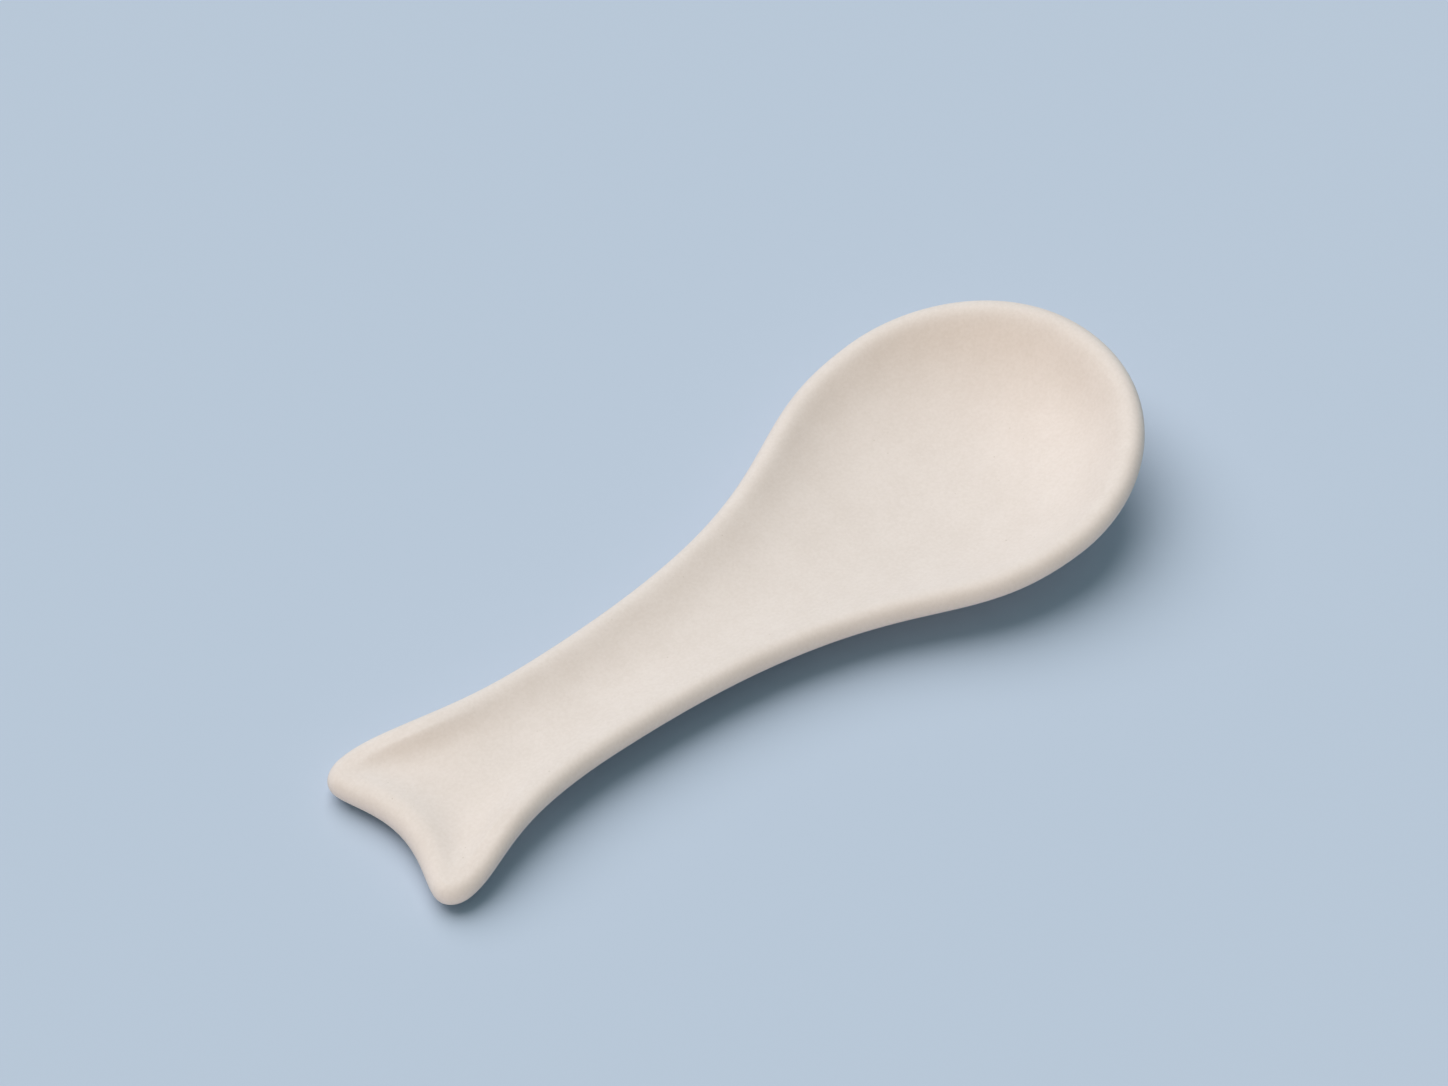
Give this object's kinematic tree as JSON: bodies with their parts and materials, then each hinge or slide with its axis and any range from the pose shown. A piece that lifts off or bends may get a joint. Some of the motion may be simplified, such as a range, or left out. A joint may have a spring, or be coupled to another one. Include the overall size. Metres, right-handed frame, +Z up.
{
  "type": "spoon rest",
  "caption": "Spoon-shaped ceramic rest with a round shallow bowl, a channelled handle and a fishtail end, in matt off-white glaze over clay.",
  "frame": {"origin": "on the table, under the middle of the bounding box", "axes": "+X along the length towards the bowl, +Z up"},
  "size_m": [0.24, 0.0932, 0.0271],
  "materials": {
    "bare_clay": "unglazed fired stoneware, fine grained",
    "matt_glaze": "matt off-white with a faint speckle"
  },
  "bodies": {
    "root": {"clay_body": "bare_clay", "glaze_coat": "matt_glaze"}
  },
  "joints": []
}
